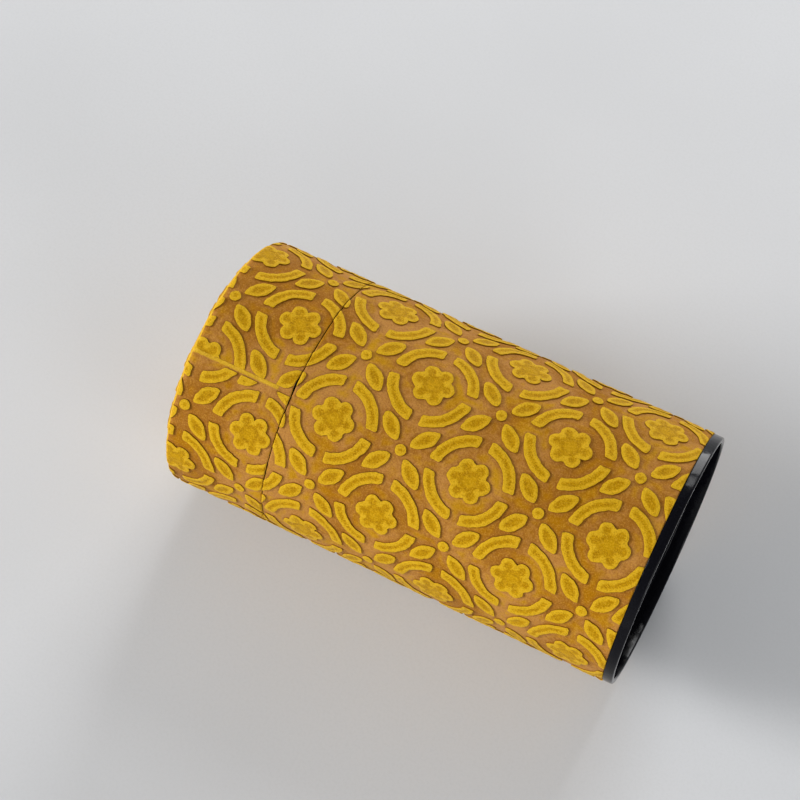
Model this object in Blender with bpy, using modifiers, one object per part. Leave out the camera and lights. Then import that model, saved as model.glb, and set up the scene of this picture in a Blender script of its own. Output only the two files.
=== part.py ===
"""Paper-covered tin tea canister, lying on its side, with an outer lid and a knobbed inner lid.

Lengths are in metres and angles in radians. Each piece is turned around its own Z axis, from the
foot at 0 to the lid at CANISTER_LENGTH. One empty lays the whole canister down along world X,
with the lid towards -X and the lowest flats of the turned pieces on the plane z = 0.
Radii and diameters are measured across the flats of the turned pieces.
"""

import math

import bpy

# Overall size
CANISTER_LENGTH = 0.149
CANISTER_DIAMETER = 0.080
LID_HEIGHT = 0.0346

# Stock and fits
TIN_THICKNESS = 0.0004
PAPER_THICKNESS = 0.0008
FOLD_THICKNESS = 0.0005
CLEARANCE = 0.0003

# Foot ring and base plate
FOOT_HEIGHT = 0.003
FOOT_INSET = 0.0002
FOOT_EDGE_RADIUS = 0.0004
RECESS_DEPTH = 0.005
LEDGE_WIDTH = 0.001
LEDGE_THICKNESS = 0.0008
COLLAR_RISE = 0.003
BASE_PANEL_MARGIN = 0.009
BASE_PANEL_RISE = 0.0008

# Neck
NECK_DEPTH = 0.025
NECK_EDGE_SHARE = 0.35

# Outer lid
LID_CORNER_RADIUS = 0.0028
LID_RIM_DEPTH = 0.0004
LID_PLUG_DEPTH = 0.0012
FOLD_WIDTH = 0.006
TOP_PAPER_THICKNESS = 0.0008
TOP_PAPER_INSET = 0.0004
LID_HEADROOM = 0.001

# Inner lid, its knob and its rivet
INNER_PANEL_MARGIN = 0.008
INNER_PANEL_RISE = 0.001
PAN_BEND_RADIUS = 0.0012
KNOB_HEADROOM = 0.0015
KNOB_HEIGHT = 0.009
KNOB_HEAD_DIAMETER = 0.017
KNOB_HEAD_THICKNESS = 0.0042
KNOB_WAIST_DIAMETER = 0.009
KNOB_BASE_DIAMETER = 0.012
KNOB_BASE_THICKNESS = 0.001
RIVET_SHANK_DIAMETER = 0.003
RIVET_HEAD_DIAMETER = 0.006
RIVET_HEAD_THICKNESS = 0.0007
RIVET_GRIP = 0.004

# Facets around the turned pieces and along their rounded corners
SEGMENTS = 64
KNOB_SEGMENTS = 32
CORNER_STEPS = 4
EDGE_STEPS = 2
MERGE_DISTANCE = 0.00001

COLLECTION_NAME = "tea_canister"

# Radii, from the paper inwards
paper_outer = CANISTER_DIAMETER / 2
paper_inner = paper_outer - PAPER_THICKNESS
tube_outer = paper_inner - CLEARANCE
tube_inner = tube_outer - TIN_THICKNESS
sleeve_outer = tube_inner - CLEARANCE
sleeve_inner = sleeve_outer - TIN_THICKNESS
pan_outer = sleeve_inner - CLEARANCE
pan_inner = pan_outer - TIN_THICKNESS
foot_outer = paper_outer - FOOT_INSET

# Heights, from the foot upwards
joint_height = CANISTER_LENGTH - LID_HEIGHT
wall_bottom = FOOT_HEIGHT + CLEARANCE
lid_bottom = joint_height + CLEARANCE

# Heights in the lid, from its end downwards
top_paper_bottom = CANISTER_LENGTH - TOP_PAPER_THICKNESS
fold_top = top_paper_bottom - CLEARANCE
fold_bottom = fold_top - FOLD_THICKNESS
plate_top = fold_bottom - CLEARANCE
plate_bottom = plate_top - TIN_THICKNESS
corner_height = fold_top - LID_CORNER_RADIUS
corner_radius_centre = paper_outer - LID_CORNER_RADIUS
rim_bottom = corner_height - LID_RIM_DEPTH
lid_tube_top = rim_bottom - CLEARANCE
plug_bottom = lid_tube_top - LID_PLUG_DEPTH
flange_top = plug_bottom - LID_HEADROOM
flange_bottom = flange_top - TIN_THICKNESS
neck_top = flange_bottom - CLEARANCE
neck_bottom = joint_height - NECK_DEPTH

# Heights of the inner lid and what it carries
knob_top = plate_bottom - KNOB_HEADROOM
knob_bottom = knob_top - KNOB_HEIGHT
panel_top = knob_bottom - CLEARANCE
panel_bottom = panel_top - TIN_THICKNESS
floor_top = panel_top - INNER_PANEL_RISE
floor_bottom = panel_bottom - INNER_PANEL_RISE
rivet_head_top = panel_bottom - CLEARANCE
rivet_head_bottom = rivet_head_top - RIVET_HEAD_THICKNESS
rivet_top = knob_bottom + RIVET_GRIP
bore_radius = RIVET_SHANK_DIAMETER / 2 + CLEARANCE
bore_top = rivet_top + CLEARANCE


def clear_scene():
    """Remove every object that the file opened with."""
    for old in list(bpy.data.objects):
        bpy.data.objects.remove(old, do_unlink=True)


def make_collection(name):
    """Return a new collection linked to the scene."""
    collection = bpy.data.collections.new(name)
    bpy.context.scene.collection.children.link(collection)
    return collection


def make_material(name, colour, roughness, metallic):
    """Return a Principled material with one colour and finish."""
    material = bpy.data.materials.new(name)
    material.use_nodes = True
    shader = material.node_tree.nodes["Principled BSDF"]
    shader.inputs["Base Color"].default_value = (*colour, 1.0)
    shader.inputs["Roughness"].default_value = roughness
    shader.inputs["Metallic"].default_value = metallic
    material.diffuse_color = (*colour, 1.0)
    return material


def make_empty(name, collection, parent, height):
    """Return an empty on the canister's axis, at a height above the foot."""
    empty = bpy.data.objects.new(name, None)
    empty.empty_display_size = CANISTER_DIAMETER
    empty.location = (0.0, 0.0, height)
    empty.parent = parent
    collection.objects.link(empty)
    return empty


def rounded(centre_r, centre_z, radius_r, radius_z, start, end, steps):
    """Points of a rounded corner in a profile, from one angle to another."""
    points = []
    for index in range(steps + 1):
        angle = start + (end - start) * index / steps
        points.append((centre_r + radius_r * math.cos(angle), centre_z + radius_z * math.sin(angle)))
    return points


def turned(name, profile, material, collection, parent, origin_height=0.0, segments=SEGMENTS, closed=True):
    """Turn a profile of (radius, height) points around the canister's axis.

    The profile runs down its outer side. A closed one is a loop clear of the axis, and an open one
    starts and ends on the axis. Half a facet of turn puts the middle of a flat on each world axis.
    """
    across_flats = 1.0 / math.cos(math.pi / segments)
    points = [(radius * across_flats, 0.0, height - origin_height) for radius, height in profile]
    edges = [(index, index + 1) for index in range(len(points) - 1)]
    if closed:
        edges.append((len(points) - 1, 0))
    mesh = bpy.data.meshes.new(name)
    mesh.from_pydata(points, edges, [])
    mesh.materials.append(material)
    piece = bpy.data.objects.new(name, mesh)
    piece.parent = parent
    piece.rotation_euler = (0.0, 0.0, math.pi / segments)
    collection.objects.link(piece)
    screw = piece.modifiers.new("turn", "SCREW")
    screw.axis = "Z"
    screw.angle = math.tau
    screw.steps = segments
    screw.render_steps = segments
    screw.use_merge_vertices = True
    screw.merge_threshold = MERGE_DISTANCE
    screw.use_smooth_shade = True
    return piece


def tube_profile(outer, inner, top, bottom):
    """Profile of a plain tube."""
    return [(inner, top), (outer, top), (outer, bottom), (inner, bottom)]


def make_foot_ring(material, collection, parent):
    """Black ring under the paper, with a collar inside the tube and a ledge for the base plate."""
    edge = FOOT_EDGE_RADIUS
    collar_top = RECESS_DEPTH + COLLAR_RISE
    ledge_top = RECESS_DEPTH - CLEARANCE
    ledge_inner = sleeve_inner - LEDGE_WIDTH
    profile = [(sleeve_inner, collar_top), (sleeve_outer, collar_top)]
    profile += [(sleeve_outer, FOOT_HEIGHT), (foot_outer, FOOT_HEIGHT)]
    profile += rounded(foot_outer - edge, edge, edge, edge, 0.0, -math.pi / 2, EDGE_STEPS)
    profile += rounded(sleeve_inner + edge, edge, edge, edge, -math.pi / 2, -math.pi, EDGE_STEPS)
    profile += [(sleeve_inner, ledge_top - LEDGE_THICKNESS), (ledge_inner, ledge_top - LEDGE_THICKNESS)]
    profile += [(ledge_inner, ledge_top), (sleeve_inner, ledge_top)]
    return turned("foot_ring", profile, material, collection, parent)


def make_base_plate(material, collection, parent):
    """Recessed disc that closes the body, with a raised panel in its middle."""
    outer = sleeve_inner - CLEARANCE
    panel = outer - BASE_PANEL_MARGIN
    top = RECESS_DEPTH + TIN_THICKNESS
    profile = [(0.0, top + BASE_PANEL_RISE), (panel, top + BASE_PANEL_RISE)]
    profile += [(panel + BASE_PANEL_RISE, top), (outer, top)]
    profile += [(outer, RECESS_DEPTH), (panel + BASE_PANEL_RISE, RECESS_DEPTH)]
    profile += [(panel, RECESS_DEPTH + BASE_PANEL_RISE), (0.0, RECESS_DEPTH + BASE_PANEL_RISE)]
    return turned("base_plate", profile, material, collection, parent, closed=False)


def make_body(tin, paper, collection, parent):
    """Tube of the body, the paper around it and the neck sleeve inside its mouth."""
    tube = tube_profile(tube_outer, tube_inner, joint_height, wall_bottom)
    turned("body_tube", tube, tin, collection, parent)
    wrap = tube_profile(paper_outer, paper_inner, joint_height, wall_bottom)
    turned("body_paper", wrap, paper, collection, parent)
    edge = TIN_THICKNESS * NECK_EDGE_SHARE
    neck = rounded(sleeve_inner + edge, neck_top - edge, edge, edge, math.pi, math.pi / 2, EDGE_STEPS)
    neck += rounded(sleeve_outer - edge, neck_top - edge, edge, edge, math.pi / 2, 0.0, EDGE_STEPS)
    neck += [(sleeve_outer, neck_bottom), (sleeve_inner, neck_bottom)]
    turned("neck_sleeve", neck, tin, collection, parent)


def make_lid_plate(material, collection, parent):
    """End plate of the outer lid: rounded rim over the tube and a plug that fits inside it."""
    rim_r = tube_outer - corner_radius_centre
    rim_z = plate_top - corner_height
    profile = [(0.0, plate_top)]
    profile += rounded(corner_radius_centre, corner_height, rim_r, rim_z, math.pi / 2, 0.0, CORNER_STEPS)
    profile += [(tube_outer, rim_bottom), (sleeve_outer, rim_bottom)]
    profile += [(sleeve_outer, plug_bottom), (sleeve_inner, plug_bottom)]
    bend_r = sleeve_inner - corner_radius_centre
    bend_z = plate_bottom - corner_height
    profile += rounded(corner_radius_centre, corner_height, bend_r, bend_z, 0.0, math.pi / 2, CORNER_STEPS)
    profile += [(0.0, plate_bottom)]
    return turned("lid_top_plate", profile, material, collection, parent, joint_height, closed=False)


def make_lid_paper(material, collection, parent):
    """Paper around the outer lid, carried over its rounded corner and folded onto its end."""
    fold_inner = corner_radius_centre - FOLD_WIDTH
    inner_r = paper_inner - corner_radius_centre
    inner_z = fold_bottom - corner_height
    profile = [(fold_inner, fold_top)]
    profile += rounded(
        corner_radius_centre, corner_height, LID_CORNER_RADIUS, LID_CORNER_RADIUS, math.pi / 2, 0.0, CORNER_STEPS
    )
    profile += [(paper_outer, lid_bottom), (paper_inner, lid_bottom)]
    profile += rounded(
        corner_radius_centre, corner_height, inner_r, inner_z, 0.0, math.pi / 2, CORNER_STEPS
    )
    profile += [(fold_inner, fold_bottom)]
    return turned("lid_paper", profile, material, collection, parent, joint_height)


def make_lid_top_paper(material, collection, parent):
    """Round paper on the lid's end: it covers the fold, and is thicker where it meets the plate."""
    outer = corner_radius_centre - TOP_PAPER_INSET
    middle = corner_radius_centre - FOLD_WIDTH - CLEARANCE
    profile = [(0.0, CANISTER_LENGTH), (outer, CANISTER_LENGTH), (outer, top_paper_bottom)]
    profile += [(middle, top_paper_bottom), (middle, plate_top + CLEARANCE), (0.0, plate_top + CLEARANCE)]
    return turned("lid_top_paper", profile, material, collection, parent, joint_height, closed=False)


def make_outer_lid(tin, paper, collection, parent):
    """Outer lid: tube, end plate, side paper and end paper."""
    tube = tube_profile(tube_outer, tube_inner, lid_tube_top, lid_bottom)
    turned("lid_tube", tube, tin, collection, parent, joint_height)
    make_lid_plate(tin, collection, parent)
    make_lid_paper(paper, collection, parent)
    make_lid_top_paper(paper, collection, parent)


def make_inner_pan(material, collection, parent):
    """Pressed pan of the inner lid: flange on the neck, wall inside it, floor with a raised panel."""
    bend = PAN_BEND_RADIUS
    outer_bend = bend + TIN_THICKNESS
    panel = pan_inner - INNER_PANEL_MARGIN
    profile = [(pan_inner, flange_top), (sleeve_outer, flange_top), (sleeve_outer, flange_bottom)]
    profile += [(pan_outer, flange_bottom)]
    profile += rounded(
        pan_outer - outer_bend, floor_bottom + outer_bend, outer_bend, outer_bend, 0.0, -math.pi / 2, CORNER_STEPS
    )
    profile += [(panel + INNER_PANEL_RISE, floor_bottom), (panel, panel_bottom), (bore_radius, panel_bottom)]
    profile += [(bore_radius, panel_top), (panel, panel_top), (panel + INNER_PANEL_RISE, floor_top)]
    profile += rounded(pan_inner - bend, floor_top + bend, bend, bend, -math.pi / 2, 0.0, CORNER_STEPS)
    return turned("inner_lid_pan", profile, material, collection, parent, neck_top)


def make_knob(material, collection, parent):
    """Turned knob with a round head, a waist, a foot and a blind bore for its rivet."""
    head_r = KNOB_HEAD_DIAMETER / 2
    waist_r = KNOB_WAIST_DIAMETER / 2
    base_r = KNOB_BASE_DIAMETER / 2
    head_half = KNOB_HEAD_THICKNESS / 2
    head_middle = knob_top - head_half
    base_top = knob_bottom + KNOB_BASE_THICKNESS
    waist_top = knob_top - KNOB_HEAD_THICKNESS
    round_r = head_r - waist_r
    profile = [(0.0, knob_top)]
    profile += rounded(waist_r, head_middle, round_r, head_half, math.pi / 2, -math.pi / 2, 2 * CORNER_STEPS)
    profile += rounded(
        base_r, waist_top, base_r - waist_r, waist_top - base_top, math.pi, 3 * math.pi / 2, CORNER_STEPS
    )[1:]
    profile += [(base_r, knob_bottom), (bore_radius, knob_bottom)]
    profile += [(bore_radius, bore_top), (0.0, bore_top)]
    return turned(
        "inner_lid_knob", profile, material, collection, parent, neck_top, segments=KNOB_SEGMENTS, closed=False
    )


def make_rivet(material, collection, parent):
    """Rivet under the pan, whose shank holds the knob."""
    head = RIVET_HEAD_DIAMETER / 2
    shank = RIVET_SHANK_DIAMETER / 2
    profile = [(0.0, rivet_top), (shank, rivet_top), (shank, rivet_head_top), (head, rivet_head_top)]
    profile += rounded(
        shank, rivet_head_top, head - shank, RIVET_HEAD_THICKNESS, 0.0, -math.pi / 2, CORNER_STEPS
    )[1:]
    profile += [(0.0, rivet_head_bottom)]
    return turned(
        "knob_rivet", profile, material, collection, parent, neck_top, segments=KNOB_SEGMENTS, closed=False
    )


def main():
    """Build the canister."""
    clear_scene()
    collection = make_collection(COLLECTION_NAME)
    tin = make_material("tin", (0.62, 0.61, 0.59), 0.3, 1.0)
    black = make_material("black_enamel", (0.012, 0.012, 0.016), 0.16, 0.0)
    paper = make_material("ochre_paper", (0.48, 0.28, 0.03), 0.95, 0.0)
    knob_black = make_material("black_knob", (0.015, 0.014, 0.013), 0.25, 0.0)
    rivet_metal = make_material("rivet_metal", (0.70, 0.69, 0.67), 0.35, 1.0)

    axis = make_empty("canister_axis", collection, None, 0.0)
    axis.location = (CANISTER_LENGTH / 2, 0.0, CANISTER_DIAMETER / 2)
    axis.rotation_euler = (0.0, -math.pi / 2, 0.0)
    outer_lid_axis = make_empty("outer_lid_axis", collection, axis, joint_height)
    inner_lid_axis = make_empty("inner_lid_axis", collection, axis, neck_top)

    make_foot_ring(black, collection, axis)
    make_base_plate(black, collection, axis)
    make_body(tin, paper, collection, axis)
    make_outer_lid(tin, paper, collection, outer_lid_axis)
    make_inner_pan(tin, collection, inner_lid_axis)
    make_knob(knob_black, collection, inner_lid_axis)
    make_rivet(rivet_metal, collection, inner_lid_axis)


main()
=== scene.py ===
import math

import bpy
import numpy as np
from mathutils import Matrix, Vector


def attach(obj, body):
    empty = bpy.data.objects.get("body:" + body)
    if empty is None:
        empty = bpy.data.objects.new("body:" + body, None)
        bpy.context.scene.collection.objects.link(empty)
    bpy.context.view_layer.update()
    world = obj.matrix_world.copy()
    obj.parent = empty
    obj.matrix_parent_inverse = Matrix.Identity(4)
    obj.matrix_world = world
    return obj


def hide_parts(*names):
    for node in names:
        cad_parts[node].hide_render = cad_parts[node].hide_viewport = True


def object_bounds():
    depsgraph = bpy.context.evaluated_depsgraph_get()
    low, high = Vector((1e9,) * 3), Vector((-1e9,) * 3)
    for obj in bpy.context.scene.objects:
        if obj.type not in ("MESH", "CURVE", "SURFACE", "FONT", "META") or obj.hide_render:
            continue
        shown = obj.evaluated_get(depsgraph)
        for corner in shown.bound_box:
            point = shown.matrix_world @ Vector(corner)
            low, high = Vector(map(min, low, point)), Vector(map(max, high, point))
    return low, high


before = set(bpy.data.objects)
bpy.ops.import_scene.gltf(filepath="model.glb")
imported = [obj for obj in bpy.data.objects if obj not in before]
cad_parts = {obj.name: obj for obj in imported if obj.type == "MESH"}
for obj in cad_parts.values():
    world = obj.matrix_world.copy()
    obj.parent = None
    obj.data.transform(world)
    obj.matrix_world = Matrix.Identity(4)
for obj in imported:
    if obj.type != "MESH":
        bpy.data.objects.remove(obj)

# A paper-covered tin tea canister that lies on its side.
#
# Lengths are in millimetres and become metres where points are placed. "h" is a height above the
# foot along the canister's axis, "r" a radius and "phi" an angle around the axis, from the top of
# the lying canister towards -Y. Node values of the materials are in metres.

MM = 0.001
cad_low, cad_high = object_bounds()
LENGTH = (cad_high.x - cad_low.x) / MM
FOOT_X = cad_high.x / MM
AXIS_Z = (cad_low.z + cad_high.z) / 2 / MM
RADIUS = (cad_high.z - cad_low.z) / 2 / MM

# Heights and radii of the tinplate and the paper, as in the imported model
TIN = 0.4
PAPER_START_H = 3.1
TUBE_START_H = 3.3
JOINT_H = 114.4
LID_H = 114.7
NECK_START_H = 89.4
NECK_TOP_H = 141.5
LID_TUBE_TOP_H = 144.4
PLATE_CORNER_H = 145.1
PLATE_CORNER_R = 37.2
TUBE_OUTER = 38.9
SLEEVE_OUTER = 38.2
SLEEVE_INNER = 37.8
PAN_OUTER = 37.5

# Relief of the paper: its height, the ground under it and the rounded corner of the lid
RELIEF = 0.48
GROUND_R = RADIUS - RELIEF
PAPER_DEPTH = 0.6
CORNER_GROUND = 2.6
CORNER_H = 145.5
CORNER_R = GROUND_R - CORNER_GROUND
LID_END_R = CORNER_R - 0.5
EDGE_LIFT = 0.38
EDGE_WIDTH = 0.35
GROOVE_DEPTH = 0.13
GROOVE_START, GROOVE_END = 0.7, 1.5
WALL_WIDTH = 0.09
CUT_ROUNDING = 0.12
CUT_ROUNDING_WIDTH = 0.45

# The figures on the paper
PITCH = 21.5
RING_RADIUS = 11.5
RING_HALF = 1.7
RING_GAP_HALF = 1.5
PETALS = 6
PETAL_RADIUS = 2.35
PETAL_DISTANCE = 4.2
FLOWER_HEART = 4.2
LEAF_HALF_LENGTH = 4.8
LEAF_HALF_WIDTH = 2.3
LEAF_DISTANCE = 7.6
DOT_RADIUS = 1.7
CORNER_ROUNDING = 0.5
PATTERN_SHIFT = (7.0, 2.0)

# Signed distances that stand for plain paper, and for no figure yet
PLAIN = -1.0
FAR_OUTSIDE = -99.0

# Laps of the paper sheets: the start of each sheet lies on its end, a tongue beyond the full turn
LID_SEAM_PHI = math.radians(25.0)
BODY_SEAM_PHI = math.radians(232.0)
LAP_STEP = 0.26
LAP_FADE = 10.0
TONGUE = 2.0
TONGUE_THINNING = 0.15
BACK_LAP_SHARE = 1.4
BORDER = 1.5
BEVEL = 0.35
FRAY_START, FRAY_END = 0.95, 1.25

# The lid's lower edge stands a little off the body, and more beside its seam
LID_JOINT_GAP = 0.08
LID_JOINT_FLARE = 0.45
LID_FLARE_U = -2.4
LID_FLARE_WIDTH = 2.8
LID_FLARE_HEIGHT = 2.0

# The lid's lap is pressed flat beside the joint
LID_LAP_START, LID_LAP_END = 3.6, 4.6
LID_LAP_SHARE = 0.25
LID_FRAY_START, LID_FRAY_END = 3.8, 4.4

# The lid's paper folds over the corner, where it is worn and flatter; turns are in radians
LID_FOLD = 3.0
ARC_STEPS = 7
FOLD_STEPS = 5
WORN_FROM, WORN_FULL = 0.48, 0.62
WORN_LESS_FROM, WORN_LESS_FULL = 0.85, 1.15
WORN_SHARE, WORN_LESS_SHARE = 0.85, 0.62
FLAT_FROM, FLAT_FULL = 0.35, 0.95
FLAT_SHARE = 0.9

# Grids of the sheets, and the extra lines beside a soft edge, as shares of a cell
BODY_CELL = 0.74
LID_CELL = 0.56
END_CELL = 0.62
END_COLUMNS = 376
SOFT_SHARES = (0.25, 0.55)

# How near the contour, its crest and its foot may come to a grid point, as shares of a cell
SNAP_SHARE = 0.08
CREST_SHARE = 0.06
WALL_FOOT_SHARE = 0.02

# Rise of a sheet's back, the largest rise that is kept, and the angles of sharp edges
BACK_RISE = -4.0
MOST_RISE = 6.0
PAPER_SHARP_ANGLE = math.radians(34.0)
METAL_SHARP_ANGLE = math.radians(38.0)

# Brightness of the surroundings near the horizon (added), overhead, and where the camera sees them
WORLD_LOW = 0.90
WORLD_HIGH = 0.14
WORLD_SEEN = 0.66

# Windows: name, place, width, height, power and colour, in metres and watts
COOL = (0.99, 0.995, 1.0)
WINDOWS = (
    ("left_window", (-2.745, -1.11, 1.11), 1.275, 1.275, 121.0, (1.0, 0.995, 0.985)),
    ("back_window", (-0.081, 1.526, 0.527), 0.61, 0.84, 15.5, COOL),
    ("upper_back_window", (-0.0675, 1.188, 1.107), 0.405, 0.243, 3.1, COOL),
    ("right_window", (1.20, -0.64, 0.47), 0.68, 0.68, 7.4, COOL),
)


def smooth(low, high, value):
    """Smooth step from 0 at low to 1 at high."""
    t = np.clip((value - low) / (high - low), 0.0, 1.0)
    return t * t * (3.0 - 2.0 * t)


def around(h, r, phi):
    """World points, in metres, of heights, radii and angles."""
    x = FOOT_X - h
    y = -r * np.sin(phi)
    z = AXIS_Z + r * np.cos(phi)
    return np.stack(np.broadcast_arrays(x, y, z), axis=-1) * MM


def make_waves(seed, shortest, longest, amplitude, count=12):
    """Seeded plane waves for hand-made unevenness: wavelength, direction, phase, amplitude."""
    rng = np.random.default_rng(seed)
    lengths = np.exp(rng.uniform(math.log(shortest), math.log(longest), count))
    angles = rng.uniform(0.0, math.tau, count)
    phases = rng.uniform(0.0, math.tau, count)
    heights = np.full(count, amplitude * math.sqrt(2.0 / count))
    return list(zip(lengths, angles, phases, heights))


def wobble(waves, p, q):
    """Sum of the waves at flat coordinates p and q."""
    total = 0.0
    for length, angle, phase, height in waves:
        along = p * math.cos(angle) + q * math.sin(angle)
        total = total + height * np.sin(math.tau * along / length + phase)
    return total


EDGE_WAVES = make_waves(11, 1.8, 8.0, 0.07)
GROUND_WAVES = make_waves(23, 4.0, 16.0, 0.035)
TOP_WAVES = make_waves(37, 1.4, 4.0, 0.02)


def smaller(a, b, softness):
    """Smaller of two distances, rounded where they meet."""
    mix = np.clip(0.5 + 0.5 * (b - a) / softness, 0.0, 1.0)
    return b * (1.0 - mix) + a * mix - softness * mix * (1.0 - mix)


def ring_and_flower(x, y):
    """Signed distance to a broken ring around a flower of round petals, positive inside."""
    r = np.hypot(x, y)
    angle = np.arctan2(y, x)
    band = RING_HALF - np.abs(r - RING_RADIUS)
    gap = np.minimum(np.abs(x), np.abs(y)) - RING_GAP_HALF
    ring = smaller(band, gap, CORNER_ROUNDING)
    sector = math.tau / PETALS
    folded = np.abs(np.mod(angle + sector / 2, sector) - sector / 2)
    petal = PETAL_RADIUS - np.hypot(r * np.cos(folded) - PETAL_DISTANCE, r * np.sin(folded))
    flower = np.maximum(petal, FLOWER_HEART - r)
    return np.maximum(ring, flower)


def leaves_and_dot(x, y):
    """Signed distance to four leaves around a dot, positive inside."""
    along = (np.abs(x) + np.abs(y)) / math.sqrt(2.0) - LEAF_DISTANCE
    across = (np.abs(y) - np.abs(x)) / math.sqrt(2.0)
    bow = (LEAF_HALF_LENGTH ** 2 + LEAF_HALF_WIDTH ** 2) / (2.0 * LEAF_HALF_WIDTH)
    leaf = bow - np.hypot(along, np.abs(across) + bow - LEAF_HALF_WIDTH)
    dot = DOT_RADIUS - np.hypot(x, y)
    return np.maximum(leaf, dot)


def figures(p, q):
    """Signed distance to the raised figures at flat coordinates, positive inside them."""
    a = (p + PATTERN_SHIFT[0]) / PITCH
    b = (q + PATTERN_SHIFT[1]) / PITCH
    result = np.full(np.shape(a), FAR_OUTSIDE)
    for step_a in (0, 1):
        for step_b in (0, 1):
            i = np.floor(a) + step_a
            j = np.floor(b) + step_b
            x = (a - i) * PITCH
            y = (b - j) * PITCH
            even = np.mod(i + j, 2.0) < 0.5
            motif = np.where(even, ring_and_flower(x, y), leaves_and_dot(x, y))
            result = np.maximum(result, motif)
    return result + wobble(EDGE_WAVES, p, q)


def top_lift(distance):
    """Height of a raised figure: a rim along its edge and a shallow groove inside."""
    rim = EDGE_LIFT + (RELIEF - EDGE_LIFT) * smooth(0.0, EDGE_WIDTH, distance)
    return rim - GROOVE_DEPTH * smooth(GROOVE_START, GROOVE_END, distance)


def even_lines(start, end, spacing, soft_start=False, soft_end=False):
    """Grid lines from start to end, closer together at a soft edge."""
    count = max(2, int(round((end - start) / spacing)))
    lines = list(np.linspace(start, end, count + 1))
    if soft_start:
        lines[1:1] = [start + spacing * share for share in SOFT_SHARES]
    if soft_end:
        lines[-1:-1] = [end - spacing * share for share in reversed(SOFT_SHARES)]
    return np.array(lines)


def off_zero(field, limit):
    """Field whose values keep at least limit away from zero."""
    return np.where(np.abs(field) < limit, np.where(field < 0.0, -limit, limit), field)


def open_ties(field, right, limit, rounds=8):
    """Lower one corner of each cell whose opposite corners agree and whose neighbours don't."""
    for _ in range(rounds):
        inside = field > 0.0
        a, b = inside[:-1, : len(right)], inside[1:, : len(right)]
        c, d = inside[1:, right], inside[:-1, right]
        rows, cols = np.nonzero((a == c) & (b == d) & (a != b))
        for row, col in zip(rows, cols):
            corner = (row, col) if inside[row, col] else (row + 1, col)
            field[corner] = -limit
    return field


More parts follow.
